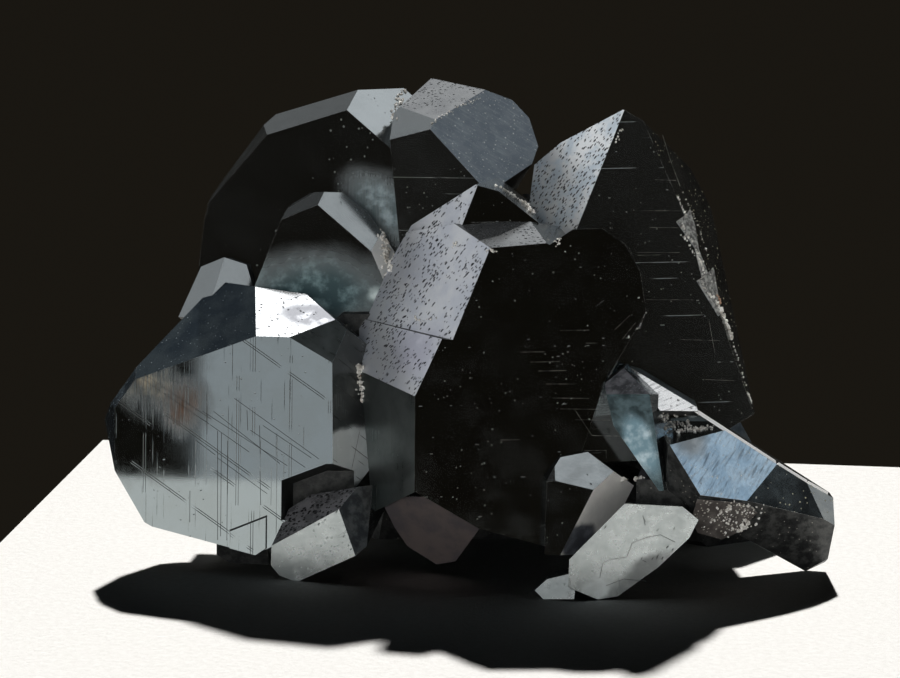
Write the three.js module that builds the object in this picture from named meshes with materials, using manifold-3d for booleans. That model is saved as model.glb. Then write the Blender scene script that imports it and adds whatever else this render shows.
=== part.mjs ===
// A hematite specimen: thick tabular crystals grown together, resting on a broken base and on the
// lowest crystal corners. Millimetres, +Z up, the front of the specimen looks along -Y, and the
// origin is at the middle of the footprint.
//
// Hematite is trigonal. Each crystal here is a plate with two broad basal faces square to its
// c-axis, and a belt of bevels, the rhombohedron and the pyramid, that lean away from that axis.
// A crystal is written as its own list of faces, in the plane of its front basal face:
//   [direction, reach, lean]
// direction is measured in that plane, degrees from the crystal's right towards its top;
// reach is the distance in mm from the crystal's middle to where the face meets that plane;
// lean is the angle between the face's normal and the c-axis: under 90 is a bevel that shows from
// the front, 90 is a prism face, and over 90 is the undercut bevel of the far side.

import * as THREE from "three";
import { mergeVertices } from "three/addons/utils/BufferGeometryUtils.js";
import Module from "manifold-3d";

const wasm = await Module();
wasm.setup();

// ---- Driving dimensions

const RHOMB = 58; // lean of the common rhombohedron bevel
const PYRAMID = 62; // lean of the steeper second-order pyramid
const PRISM = 90;
const UNDERCUT = 98; // lean of the belt where a bevel turns under
const ROUGH_BLOCK = 56; // width of the block that a crystal is cut from
const FLOOR = 0; // the specimen is flat where it touches what it stands on
const CHIP_HEIGHT = 8; // of the block that knocks a chip off
const BELT_TURN = 6; // degrees by which a whole plate's far bevels are turned from its near ones
const BELT_WAIST = 0.9; // share of a plate's full spread that its far bevels keep

const STEEL_BLACK = 0x2b2d30;

// ---- Crystals of the front

// The broad pale plate at the left, with its wide upper-left bevel.
const leftPlate = {
  at: [-24.2, -8, 13.4],
  turn: -8,
  tilt: 6,
  thick: 9,
  faces: [
    [180, 11.4, 61],
    [145, 11, PYRAMID],
    [145, 12, UNDERCUT],
    [111, 8.8, 53],
    [150, 12.6, UNDERCUT],
    [118, 15.6, UNDERCUT],
    [90, 10.6, 54],
    [83, 16, UNDERCUT],
    [61, 12.4, 33],
    [52, 16.6, UNDERCUT],
    [1, 11, PYRAMID],
    [2, 14.6, UNDERCUT],
    [157, 13.4, 92],
    [212, 11.8, 88],
    [211, 11.6, 106],
    [242, 11.6, 115],
    [257, 10.6, 115],
    [297, 11.8, 115],
  ],
};

// The main crystal: five parallel growths on one axis. Their offsets are along its right, its top
// and its c-axis, so the front faces of the plate, the step and the shoulder are one flat face.
const mainCrystal = {
  at: [3.4, -14, 18.8],
  turn: 4,
  tilt: 10,
  growths: {
    plate: {
      offset: [0, 0, 0],
      thick: 17,
      faces: [
        [157, 6.6, 57],
        [156, 16.4, UNDERCUT],
        [149, 17.4, UNDERCUT],
        [94, 15.2, 66],
        [90, 18.4, UNDERCUT],
        [61, 16, 75],
        [239, 12, 110],
        [179, 8.2, 66],
        [341, 9.4, UNDERCUT],
        [254, 12.8, 112],
      ],
    },
    step: {
      offset: [-8, 0, 0],
      thick: 15,
      faces: [
        [154, 0.6, 60],
        [184, 6.8, UNDERCUT],
        [85, 6.4, 85],
        [179, 0.4, PYRAMID],
        [185, 6.4, UNDERCUT],
        [268, 9.8, 70],
        [303, 7.2, PRISM],
        [0, 6, PRISM],
      ],
    },
    crest: {
      offset: [-0.4, 18.8, -5.4],
      thick: 10,
      faces: [
        [158, 2, 57],
        [119, 3, 95],
        [74, 2.2, 80],
        [51, 2.2, 80],
        [149, 6.6, UNDERCUT],
        [0, 5, PRISM],
        [270, 10, PRISM],
      ],
    },
    shoulder: {
      offset: [10.2, 10.8, 0],
      thick: 12,
      faces: [
        [123, 6.6, 95],
        [92, 6.2, 95],
        [55, 5.2, 95],
        [29, 4.4, 95],
        [8, 4.2, 95],
        [329, 5, 95],
        [180, 7, PRISM],
        [270, 8, PRISM],
      ],
    },
  },
};

// The small crystal whose brownish face shows under the main one.
const brownToe = {
  at: [-3.4, -13, 5.9],
  turn: -28,
  tilt: -28,
  thick: 8,
  faces: [
    [124, 4, 80],
    [98, 3.6, 112],
    [55, 3.8, 112],
    [322, 4.2, UNDERCUT],
    [289, 5, UNDERCUT],
    [235, 5, UNDERCUT],
    [199, 4.6, UNDERCUT],
    [190, 4.6, UNDERCUT],
  ],
};

// The big black plates behind.
const backPlate = {
  at: [-16, 5, 35.6],
  turn: -6,
  tilt: 11,
  thick: 9,
  faces: [
    [140, 7.8, PYRAMID],
    [147, 9, UNDERCUT],
    [108, 7.8, PYRAMID],
    [137, 9.8, UNDERCUT],
    [106, 11.4, UNDERCUT],
    [50, 9.6, 60],
    [107, 10.4, UNDERCUT],
    [151, 9.2, UNDERCUT],
    [174, 10.6, 95],
    [168, 10.2, 95],
    [0, 13, PRISM],
    [270, 20, PRISM],
  ],
};

const crown = {
  at: [-3.4, 2, 39.8],
  turn: -4,
  tilt: 9,
  thick: 12,
  faces: [
    [105, 3.6, 56],
    [43, 2.4, 50],
    [186, 4, 95],
    [146, 6.8, 95],
    [93, 4.1, 66],
    [88, 10.6, UNDERCUT],
    [74, 10, UNDERCUT],
    [44, 11.6, UNDERCUT],
    [16, 11.8, UNDERCUT],
    [335, 9.8, UNDERCUT],
    [318, 6.2, 80],
    [270, 12, PRISM],
  ],
};

const rightPlate = {
  at: [17.6, -4, 32.1],
  turn: 6,
  tilt: 10,
  thick: 12,
  faces: [
    [157, 6.7, 60],
    [111, 13.8, UNDERCUT],
    [126, 14, UNDERCUT],
    [172, 11.8, UNDERCUT],
    [23, 5.7, 64],
    [18, 5.7, 64],
    [59, 11.5, UNDERCUT],
    [30, 10.9, UNDERCUT],
    [19, 10.9, UNDERCUT],
    [3, 11.5, UNDERCUT],
    [5, 11.3, UNDERCUT],
    [6, 9.9, 95],
    [300, 20.3, PRISM],
    [270, 21.3, PRISM],
  ],
};

const hollowCrystal = {
  at: [-14.8, 0, 32.4],
  turn: 0,
  tilt: 8,
  thick: 7,
  faces: [
    [112, 3.4, 54],
    [49, 2.6, 44],
    [90, 5, 95],
    [53, 5.4, 95],
    [23, 4.4, 50],
    [34, 5.8, 95],
    [339, 7.8, 95],
    [158, 4.4, 95],
    [120, 4.4, 88],
    [270, 12, PRISM],
  ],
};

const shoulderWedge = {
  at: [-25.6, 2, 28.4],
  turn: -25,
  tilt: 35,
  thick: 8,
  faces: [
    [171, 2, 95],
    [119, 1.6, 95],
    [358, 0.4, 36],
    [94, 2, 95],
    [28, 3.2, 95],
    [270, 5, PRISM],
  ],
};

// The arm that reaches out to the right: a plate lying on its edge, with a blade above it.
const rightArm = {
  at: [25.8, -14, 15.8],
  turn: 94,
  tilt: 56,
  thick: 8,
  faces: [
    [180, 0, RHOMB],
    [189, 1, 60],
    [204, 3.6, 46],
    [204, 6.4, 112],
    [205, 6, 94],
    [243, 16.8, 117],
    [271, 13.8, RHOMB],
    [91, 7.2, 124],
    [4, 3.4, 50],
    [30, 8.8, 74],
    [345, 10.4, 104],
    [94, 0, 41],
    [146, 7.2, 125],
  ],
};

// A small crystal on the arm's underside, and the one that the arm grows from.
const armHeel = {
  at: [26.3, -16.3, 7.7],
  turn: 11,
  tilt: -31,
  thick: 4,
  faces: [
    [80, 1.8, 95],
    [50, 1.9, 95],
    [332, 2.4, 95],
    [301, 2.8, 95],
    [247, 3.3, 95],
    [206, 3.7, 95],
    [176, 3.9, 95],
  ],
};

const armRoot = {
  at: [19.2, -15.5, 8.4],
  turn: -4,
  tilt: 9,
  thick: 8,
  faces: [
    [90, 2.6, 80],
    [0, 2.4, 95],
    [270, 3, 95],
    [180, 2.2, 95],
  ],
};

const armBlade = {
  at: [19.6, -14, 17.8],
  turn: -12,
  tilt: 42,
  thick: 3.5,
  faces: [
    [219, 0.2, 95],
    [272, 0, 112],
    [60, 2.2, PYRAMID],
    [18, 3.4, PRISM],
    [144, 6.6, PRISM],
  ],
};

const upright = {
  at: [16.4, -15.6, 16.2],
  turn: -8,
  tilt: 4,
  thick: 6,
  faces: [
    [194, 1.6, PRISM],
    [216, 1.2, PRISM],
    [92, 3.6, 50],
    [128, 5.2, PRISM],
    [53, 4, PRISM],
    [9, 2.4, 80],
    [10, 2.4, 80],
    [270, 6, PRISM],
  ],
};

const archCrystal = {
  at: [10.4, -18, 10.2],
  turn: -10,
  tilt: 12,
  thick: 6,
  faces: [
    [79, 1, 38],
    [158, 2.8, 95],
    [101, 1.6, 36],
    [105, 4, 95],
    [335, 1.8, 65],
    [56, 4.4, 95],
    [180, 2.4, PRISM],
    [270, 6, PRISM],
  ],
};

const paleFoot = {
  at: [17.2, -19, 5.4],
  turn: 8,
  tilt: 5,
  thick: 7,
  faces: [
    [85, 4, 95],
    [49, 5.6, 95],
    [332, 4.2, 95],
    [312, 3, 95],
    [304, 3, 95],
    [277, 4.8, 95],
    [246, 6.6, 95],
    [178, 7, 110],
    [134, 4, 110],
  ],
};

const leftFoot = {
  at: [-15.6, -13, 3.2],
  turn: -15,
  tilt: 4,
  thick: 9,
  faces: [
    [121, 2.2, RHOMB],
    [126, 5.2, UNDERCUT],
    [102, 5.6, UNDERCUT],
    [164, 4.8, UNDERCUT],
    [21, 4.4, 40],
    [297, 2.4, 110],
    [253, 3.6, 110],
    [223, 4.2, 110],
    [179, 4, UNDERCUT],
    [0, 5.7, PRISM],
  ],
};

const heel = {
  at: [-22.6, -6.4, 1],
  turn: -10,
  tilt: -4,
  thick: 8,
  faces: [
    [178, 2.8, UNDERCUT],
    [239, 1.6, 110],
    [2, 2.6, UNDERCUT],
    [90, 3, PRISM],
    [270, 2.4, PRISM],
  ],
};

const nub = {
  at: [9, -19.6, 1],
  turn: -15,
  tilt: 25,
  thick: 4,
  faces: [
    [137, 1.4, 70],
    [108, 1.2, 70],
    [274, 1, 70],
    [230, 1.6, 70],
    [0, 1.9, PRISM],
  ],
};

// ---- Crystals of the back, whole six-sided plates

/**
 * The faces of a whole plate: six bevels round its front, every other one the steeper pyramid,
 * and the same six turned under round its back.
 */
function sixSides({ start, reaches, thick }) {
  const spread = (lean) => thick / Math.tan(THREE.MathUtils.degToRad(lean));
  return reaches.flatMap((reach, k) => {
    const direction = start + 60 * k;
    const lean = k % 2 ? PYRAMID : RHOMB;
    return [
      [direction, reach, lean],
      [direction + BELT_TURN, reach + spread(lean) * BELT_WAIST, 180 - lean],
    ];
  });
}

const backCrystals = [
  { at: [4, 15, 24], turn: 176, tilt: 12, thick: 11, start: 20, reaches: [9, 10, 8, 10, 11, 9] },
  { at: [-16, 13, 18], turn: 205, tilt: 8, thick: 10, start: 50, reaches: [8, 9, 8, 8, 9, 7] },
  { at: [19, 9, 17], turn: 150, tilt: 6, thick: 10, start: 35, reaches: [7, 8, 8, 8, 7, 8] },
  { at: [-7, 19, 7], turn: 187, tilt: -6, thick: 11, start: 10, reaches: [6, 5, 6, 5, 7, 6] },
  { at: [13, 15, 6], turn: 158, tilt: -4, thick: 10, start: 40, reaches: [5, 6, 5, 6, 5, 6] },
  { at: [27, 11, 4.5], turn: 150, tilt: -3, thick: 11, start: 25, reaches: [5, 6, 5, 6, 5, 6] },
].map((plate) => ({ ...plate, faces: sixSides(plate) }));

// The massive ore between the crystals, and the broken base where it came off the rock.
const heart = {
  at: [-1, -1.5, 15],
  turn: 0,
  tilt: 0,
  thick: 17,
  faces: [
    [0, 17, 75],
    [50, 14, 80],
    [90, 10, 70],
    [130, 15, 80],
    [180, 17, 75],
    [230, 13, 85],
    [270, 9, 80],
    [310, 13, 85],
  ],
};

const brokenBase = {
  at: [-1, 10, 8],
  turn: 0,
  tilt: 90,
  thick: 10,
  faces: [
    [0, 10, 82],
    [48, 9, 76],
    [95, 6.5, 84],
    [140, 9, 78],
    [185, 11, 84],
    [228, 9, 80],
    [272, 6, 86],
    [318, 9, 80],
  ],
};

// ---- Cutting and joining

/** A closed three.js geometry as a manifold solid. */
function solidOf(geometry) {
  const bare = geometry.clone();
  bare.deleteAttribute("normal");
  bare.deleteAttribute("uv");
  const merged = mergeVertices(bare);
  return new wasm.Manifold(
    new wasm.Mesh({
      numProp: 3,
      vertProperties: merged.attributes.position.array,
      triVerts: new Uint32Array(merged.index.array),
    }),
  );
}

/** A manifold solid as a three.js geometry. */
function geometryOf(solid) {
  const mesh = solid.getMesh();
  const geometry = new THREE.BufferGeometry();
  geometry.setAttribute("position", new THREE.BufferAttribute(new Float32Array(mesh.vertProperties), 3));
  geometry.setIndex(new THREE.BufferAttribute(new Uint32Array(mesh.triVerts), 1));
  geometry.computeVertexNormals();
  return geometry;
}

/** The turn that carries a crystal's own axes, right, top and c-axis, to where it grew. */
function placement({ at, turn, tilt }) {
  const a = THREE.MathUtils.degToRad(turn);
  const t = THREE.MathUtils.degToRad(tilt);
  const axis = new THREE.Vector3(Math.sin(a) * Math.cos(t), -Math.cos(a) * Math.cos(t), Math.sin(t));
  const right = new THREE.Vector3(Math.cos(a), Math.sin(a), 0);
  const top = new THREE.Vector3().crossVectors(axis, right);
  return new THREE.Matrix4().makeBasis(right, top, axis).setPosition(...at);
}

/** A block behind the front basal face, cut down by each face in turn, in the crystal's own axes. */
function cutPlate({ thick, faces }) {
  const block = new THREE.BoxGeometry(ROUGH_BLOCK, ROUGH_BLOCK, thick);
  let solid = solidOf(block.translate(0, 0, -thick / 2));
  for (const [direction, reach, lean] of faces) {
    const d = THREE.MathUtils.degToRad(direction);
    const l = THREE.MathUtils.degToRad(lean);
    const inward = [-Math.sin(l) * Math.cos(d), -Math.sin(l) * Math.sin(d), -Math.cos(l)];
    solid = solid.trimByPlane(inward, -reach * Math.sin(l));
  }
  return solid;
}

/** One crystal where it grew; parallel growths are joined in its own axes first. */
function crystal(shape) {
  const parts = Object.values(shape.growths ?? { only: shape });
  const joined = parts
    .map((part) => cutPlate(part).translate(part.offset ?? [0, 0, 0]))
    .reduce((whole, next) => whole.add(next));
  return joined.transform(placement(shape).elements);
}

/** Chips knocked off a crystal, each [right, top, depth, width, length, spin, tip] in its own axes. */
function chips(shape, rows) {
  return rows
    .map(([x, y, depth, width, length, spin, tip]) => {
      const box = new THREE.BoxGeometry(width, length, CHIP_HEIGHT);
      box.translate(0, 0, CHIP_HEIGHT / 2);
      box.rotateY(THREE.MathUtils.degToRad(tip));
      box.rotateZ(THREE.MathUtils.degToRad(spin));
      return solidOf(box.translate(x, y, -depth)).transform(placement(shape).elements);
    })
    .reduce((whole, next) => whole.add(next));
}

// A thin flake standing proud of the pale plate, and the hollow at its lower right.
const paleFlake = {
  ...leftPlate,
  growths: {
    flake: {
      offset: [0, 0, 0.4],
      thick: 1,
      faces: [
        [113, -8.8, 70],
        [0, 4.3, 80],
        [305, 11.4, 80],
        [257, 10.6, 95],
        [180, -0.6, 80],
      ],
    },
  },
};
const paleHollow = {
  ...leftPlate,
  growths: {
    pocket: {
      offset: [0, 0, 0.5],
      thick: 3.6,
      faces: [
        [180, -5.7, 102],
        [112, -5.7, 106],
        [92, -2.3, 110],
        [0, 17, PRISM],
        [270, 8, PRISM],
      ],
    },
  },
};

// The right plate's front edge has broken away along its right side.
const chippedEdge = [
  [4.9, 4.6, 0.5, 5, 4.8, 20, 40],
  [5.6, 1.6, 0.8, 5, 4, 34, 46],
  [6.8, -1.4, 0.6, 5, 4.6, 13, 38],
  [7.6, -4.6, 0.9, 5, 4.2, 31, 48],
  [9.2, -7.6, 0.5, 5, 4.4, 20, 44],
];

const crystals = [
  leftPlate,
  mainCrystal,
  brownToe,
  backPlate,
  crown,
  rightPlate,
  hollowCrystal,
  shoulderWedge,
  rightArm,
  armHeel,
  armRoot,
  armBlade,
  upright,
  archCrystal,
  paleFoot,
  leftFoot,
  heel,
  nub,
  ...backCrystals,
  heart,
  brokenBase,
  paleFlake,
];

/** Everything grown together, flat where it meets what it stands on. */
function specimen() {
  const damage = new Map([
    [leftPlate, crystal(paleHollow)],
    [rightPlate, chips(rightPlate, chippedEdge)],
  ]);
  const whole = crystals
    .map((shape) => (damage.has(shape) ? crystal(shape).subtract(damage.get(shape)) : crystal(shape)))
    .reduce((joined, next) => joined.add(next));
  return whole.trimByPlane([0, 0, 1], FLOOR);
}

/** Moves a geometry so its origin is at the bottom centre of its box. */
function centred(geometry) {
  const box = new THREE.Box3().setFromBufferAttribute(geometry.getAttribute("position"));
  const middle = box.getCenter(new THREE.Vector3());
  return geometry.translate(-middle.x, -middle.y, -box.min.z);
}

const group = new THREE.Group();
const mesh = new THREE.Mesh(
  centred(geometryOf(specimen())),
  new THREE.MeshStandardMaterial({ color: STEEL_BLACK, roughness: 0.2, metalness: 0.9 }),
);
mesh.name = "hematite_cluster";
group.add(mesh);

export default group;
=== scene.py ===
"""A hematite specimen dressed on its frame: tabular crystals with their own face finishes."""

import logging
import math
import random
from dataclasses import dataclass, field
from enum import Enum

import bpy
from mathutils import Matrix, Vector
from mathutils.bvhtree import BVHTree


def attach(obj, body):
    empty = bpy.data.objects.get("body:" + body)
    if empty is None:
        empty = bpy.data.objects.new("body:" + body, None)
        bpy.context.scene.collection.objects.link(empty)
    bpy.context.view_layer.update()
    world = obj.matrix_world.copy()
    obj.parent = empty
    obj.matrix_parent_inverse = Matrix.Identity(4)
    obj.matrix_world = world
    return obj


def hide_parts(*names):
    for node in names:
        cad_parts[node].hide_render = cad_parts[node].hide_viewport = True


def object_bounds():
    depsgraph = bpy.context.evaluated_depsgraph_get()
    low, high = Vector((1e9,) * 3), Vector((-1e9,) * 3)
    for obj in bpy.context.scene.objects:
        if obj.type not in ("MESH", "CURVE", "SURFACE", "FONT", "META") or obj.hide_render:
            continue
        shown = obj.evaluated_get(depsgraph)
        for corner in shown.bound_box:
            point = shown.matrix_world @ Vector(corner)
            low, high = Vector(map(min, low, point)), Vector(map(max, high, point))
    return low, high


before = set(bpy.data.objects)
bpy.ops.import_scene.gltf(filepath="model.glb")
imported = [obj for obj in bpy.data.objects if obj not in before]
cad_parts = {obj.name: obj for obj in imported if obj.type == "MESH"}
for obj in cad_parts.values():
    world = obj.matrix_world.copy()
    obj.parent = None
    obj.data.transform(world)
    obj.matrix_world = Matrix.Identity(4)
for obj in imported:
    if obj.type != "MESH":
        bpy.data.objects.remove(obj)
CAD_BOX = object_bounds()

LOG = logging.getLogger("hematite")
MM = 0.001
CLUSTER_NODE = "hematite_cluster"
BODY = "root"
FACET_MAP = "facet_mm"
# The frame's origin is the middle of the footprint; the crystals' own places are counted from here.
GROWTH_ORIGIN = Vector((-0.136, 0.219, 0.0))

Triple = tuple[float, float, float]
Pair = tuple[float, float]
Socket = bpy.types.NodeSocket

STEEL: Triple = (0.345, 0.375, 0.385)
BLACK: Triple = (0.03, 0.03, 0.03)
SMALLEST_SPOT = 0.4  # as a part of the largest
ENDLESS = 100.0  # a grain's depth where only its length and width count


class Finish(Enum):
    """The finishes that a crystal face can have."""

    MIRROR = "mirror_basal"
    PLATE = "mirror_plate"
    BACK_MIRROR = "mirror_back"
    HOLLOW = "mirror_hollow"
    PALE = "pale_plate"
    PITTED = "pitted_bevel"
    PLATE_PITTED = "pitted_plate"
    GREY = "plain_bevel"
    CROWN = "pitted_crown"
    FROSTED = "frosted_bevel"
    BLUE = "blue_frosted"
    TEAL = "teal_frosted"
    WHITE = "bright_facet"
    CHALKY = "chalky_facet"
    NAVY = "navy_bevel"
    DARK = "dark_bevel"
    GAP = "gap_bevel"
    RIM = "pitted_rim"
    BEIGE = "beige_facet"
    SHELL = "shelly_foot"
    FOOT = "pale_foot"
    TOE = "brown_toe"
    SPECKLED = "speckled_black"
    HEEL = "crusted_heel"
    VIOLET = "violet_rough"
    FAR = "far_bevel"
    BROKEN = "broken_edge"
    ROUGH = "rough_growth"
    WORN = "worn_edge"
    GROOVE = "dark_line"
    HAIR = "pale_line"
    CREAM = "cream_crust"
    RUSTY = "rusty_crust"


F = Finish  # short, for the tables


# ---- Nodes


class NodeSheet:
    """Adds the nodes of one material and joins them."""

    def __init__(self, name: str) -> None:
        """Starts a material that holds one principled shader.

        Args:
            name: the material's name.
        """
        self.material = bpy.data.materials.new(name)
        self.material.use_nodes = True
        self.tree = self.material.node_tree
        self.tree.nodes.clear()
        self.shader = self.tree.nodes.new("ShaderNodeBsdfPrincipled")
        output = self.tree.nodes.new("ShaderNodeOutputMaterial")
        self.tree.links.new(self.shader.outputs["BSDF"], output.inputs["Surface"])

    def feed(self, socket: Socket, value: object) -> None:
        """Joins a socket to another node's output, or sets its value.

        Args:
            socket: the input.
            value: another node's output, a number or a colour.
        """
        if isinstance(value, bpy.types.NodeSocket):
            self.tree.links.new(value, socket)
        elif isinstance(value, tuple) and len(value) == 3 and socket.type == "RGBA":
            socket.default_value = (*value, 1.0)
        else:
            socket.default_value = value

    def add(self, kind: str, inputs: dict, **settings: object) -> bpy.types.Node:
        """Adds a node.

        Args:
            kind: the node's type.
            inputs: a value or another node's output for each input, by name or by number.
            settings: the node's own settings.

        Returns:
            The new node.
        """
        node = self.tree.nodes.new(kind)
        for name, value in settings.items():
            setattr(node, name, value)
        for name, value in inputs.items():
            self.feed(node.inputs[name], value)
        return node

    def solid_mm(self) -> Socket:
        """Object coordinates in millimetres."""
        place = self.add("ShaderNodeTexCoord", {}).outputs["Object"]
        return self.grain(place, 0, (MM, MM, MM))

    def facet_mm(self) -> Socket:
        """Millimetres along and across the crystal face."""
        return self.add("ShaderNodeUVMap", {}, uv_map=FACET_MAP).outputs[0]

    def grain(self, vector: Socket, turn: float, size: tuple, at: Triple = (0, 0, 0)) -> Socket:
        """A coordinate measured in grains.

        Args:
            vector: the coordinate to start from.
            turn: degrees from its first axis to the grain's long side.
            size: the grain's length, its width and, in a solid, its depth.
            at: where the new coordinate is zero.

        Returns:
            A coordinate in which one grain is one unit each way.
        """
        sizes = size if len(size) == 3 else (*size, 1.0)
        inputs = {"Vector": vector, "Location": at, "Rotation": (0, 0, math.radians(turn)), "Scale": sizes}
        return self.add("ShaderNodeMapping", inputs, vector_type="TEXTURE").outputs[0]

    def noise(self, vector: Socket, scale: float = 1.0, detail: float = 2.0, rough: float = 0.5) -> Socket:
        """Soft noise from 0 to 1."""
        inputs = {"Vector": vector, "Scale": scale, "Detail": detail, "Roughness": rough}
        return self.add("ShaderNodeTexNoise", inputs).outputs["Fac"]

    def cloud(self, scale: float, detail: float, rough: float) -> Socket:
        """Soft noise through the solid, with that many waves to a mm."""
        return self.noise(self.solid_mm(), scale, detail, rough)

    def brushed(self, turn: float, size: Pair, detail: float, rough: float) -> Socket:
        """Soft noise drawn out along the face, in grains of that turn and size."""
        return self.noise(self.grain(self.facet_mm(), turn, size), 1.0, detail, rough)

    def warp(self, vector: Socket, scale: float, amount: float) -> Socket:
        """A coordinate pushed about by noise, so that no outline stays round.

        Args:
            vector: the coordinate.
            scale: the noise's waves to a unit.
            amount: the farthest push, in units.

        Returns:
            The new coordinate.
        """
        inputs = {"Vector": vector, "Scale": scale, "Detail": 3.0}
        push = self.add("ShaderNodeTexNoise", inputs).outputs["Color"]
        centred = self.add("ShaderNodeVectorMath", {0: push, 1: (0.5, 0.5, 0.5)}, operation="SUBTRACT")
        inputs = {0: centred.outputs[0], "Scale": 2 * amount}
        scaled = self.add("ShaderNodeVectorMath", inputs, operation="SCALE")
        return self.add("ShaderNodeVectorMath", {0: vector, 1: scaled.outputs[0]}).outputs[0]

    def spots(self, vector: Socket, radius: float, soft: float, share: object, flat: bool = True) -> Socket:
        """Separate spots, at most one in each grain of a coordinate.

        Args:
            vector: the coordinate.
            radius: the largest spot's radius, as a part of a grain.
            soft: the width of a spot's edge.
            share: the share of the grains that have a spot, a number or a socket.
            flat: whether the coordinate lies in the face.

        Returns:
            1 in a spot and 0 outside.
        """
        kind = "2D" if flat else "3D"
        cells = self.add("ShaderNodeTexVoronoi", {"Vector": vector, "Scale": 1.0}, voronoi_dimensions=kind)
        chance = self.add("ShaderNodeSeparateColor", {0: cells.outputs["Color"]})
        spread, least = radius * (1.0 - SMALLEST_SPOT), radius * SMALLEST_SPOT
        size = self.math("MULTIPLY_ADD", chance.outputs[0], spread, least)
        inside = self.band(self.math("SUBTRACT", size, cells.outputs["Distance"]), 0.0, soft)
        return self.times(inside, self.math("LESS_THAN", chance.outputs[1], share))

    def math(self, operation: str, a: object, b: object = 0.0, c: object = 0.0) -> Socket:
        """One arithmetic step."""
        return self.add("ShaderNodeMath", {0: a, 1: b, 2: c}, operation=operation).outputs[0]

    def times(self, a: object, b: object) -> Socket:
        """The product of two numbers."""
        return self.math("MULTIPLY", a, b)

    def band(self, value: Socket, low: float, high: float) -> Socket:
        """0 below low, 1 above high, and smooth between; with low above high it falls.

        Args:
            value: the number to test.
            low: where it starts.
            high: where it ends.

        Returns:
            A number from 0 to 1.
        """
        first, last = (1.0, 0.0) if low > high else (0.0, 1.0)
        inputs = {"Value": value, "From Min": min(low, high), "From Max": max(low, high)}
        inputs |= {"To Min": first, "To Max": last}
        return self.add("ShaderNodeMapRange", inputs, interpolation_type="SMOOTHSTEP").outputs["Result"]

    def along(self, vector: Socket, axis: str) -> Socket:
        """One part of a coordinate: X, Y or Z."""
        return self.add("ShaderNodeSeparateXYZ", {0: vector}).outputs[axis]

    def far(self, vector: Socket) -> Socket:
        """The distance from where a coordinate is zero."""
        return self.add("ShaderNodeVectorMath", {0: vector}, operation="LENGTH").outputs["Value"]

    def blend(self, amount: object, a: object, b: object) -> Socket:
        """A colour between two others."""
        return self.add("ShaderNodeMix", {0: amount, 6: a, 7: b}, data_type="RGBA").outputs[2]

    def between(self, amount: object, a: object, b: object) -> Socket:
        """A number between two others."""
        return self.add("ShaderNodeMix", {0: amount, 2: a, 3: b}, data_type="FLOAT").outputs[0]

    def bump(self, height: Socket, depth_mm: float, under: Socket | None = None) -> Socket:
        """A bump of that depth, over another.

        Args:
            height: from 0 to 1.
            depth_mm: how deep a height of 1 is.
            under: another bump's normal.

        Returns:
            The bent normal.
        """
        inputs = {"Height": height, "Distance": depth_mm * MM, "Strength": 1.0}
        if under is not None:
            inputs["Normal"] = under
        return self.add("ShaderNodeBump", inputs).outputs["Normal"]

    def finish(
        self, color: object, metallic: object, roughness: object, normal: Socket | None = None
    ) -> bpy.types.Material:
        """Feeds the shader.

        Args:
            color: the base colour.
            metallic: 0 to 1.
            roughness: 0 to 1.
            normal: a bump's output.

        Returns:
            The finished material.
        """
        self.feed(self.shader.inputs["Base Color"], color)
        self.feed(self.shader.inputs["Metallic"], metallic)
        self.feed(self.shader.inputs["Roughness"], roughness)
        if normal is not None:
            self.feed(self.shader.inputs["Normal"], normal)
        return self.material


# ---- Finishes of the crystal faces


class Coat:
    """What a face shows while its layers go on: colour, metal, roughness and height in mm."""

    def __init__(
        self, sheet: NodeSheet, color: object, metal: object, rough: object, height: Socket
    ) -> None:
        """Starts from the bare face.

        Args:
            sheet: the material's nodes.
            color: the base colour.
            metal: 0 to 1.
            rough: 0 to 1.
            height: in mm.
        """
        self.sheet = sheet
        self.color = color
        self.metal = metal
        self.rough = rough
        self.height = height

    def lay(self, mask: Socket, color: object, metal: float, rough: float, rise: float = 0.0) -> None:
        """Lays something on a part of the face.

        Args:
            mask: where it lies, from 0 to 1.
            color: its colour.
            metal: its metal.
            rough: its roughness.
            rise: how far it stands above the face, in mm; less than 0 is a hollow.
        """
        self.color = self.sheet.blend(mask, self.color, color)
        self.metal = self.sheet.between(mask, self.metal, metal)
        self.rough = self.sheet.between(mask, self.rough, rough)
        if rise:
            self.height = self.sheet.math("MULTIPLY_ADD", mask, rise, self.height)

    def finish(self) -> bpy.types.Material:
        """Feeds the shader."""
        return self.sheet.finish(self.color, self.metal, self.rough, self.sheet.bump(self.height, 1.0))


@dataclass(frozen=True)
class Dust:
    """Grains that lie on a face, thicker in some places."""

    size: float = 0.08  # mm from the middle to the rim of the largest grain
    spacing: float = 0.5
    share: float = 0.16
    color: Triple = (0.17, 0.18, 0.155)
    crowd: Pair = (0.42, 0.66)
    rise: float = 0.02
    crowds: float = 0.2  # waves of crowding to a mm
    turn: float = 17.0  # degrees from the level line to a row of grains
    roughness: float = 0.7

    def lay_on(self, coat: Coat) -> None:
        """Scatters the grains.

        Args:
            coat: what the face shows so far.
        """
        sheet = coat.sheet
        crowd = sheet.band(sheet.cloud(self.crowds, 3.0, 0.6), *self.crowd)
        cell = sheet.warp(sheet.grain(sheet.facet_mm(), self.turn, (self.spacing, self.spacing)), 3.0, 0.1)
        share = sheet.times(crowd, self.share)
        grains = sheet.spots(cell, self.size / self.spacing, 0.06, share)
        coat.lay(grains, self.color, 0.0, self.roughness, self.rise)


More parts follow.
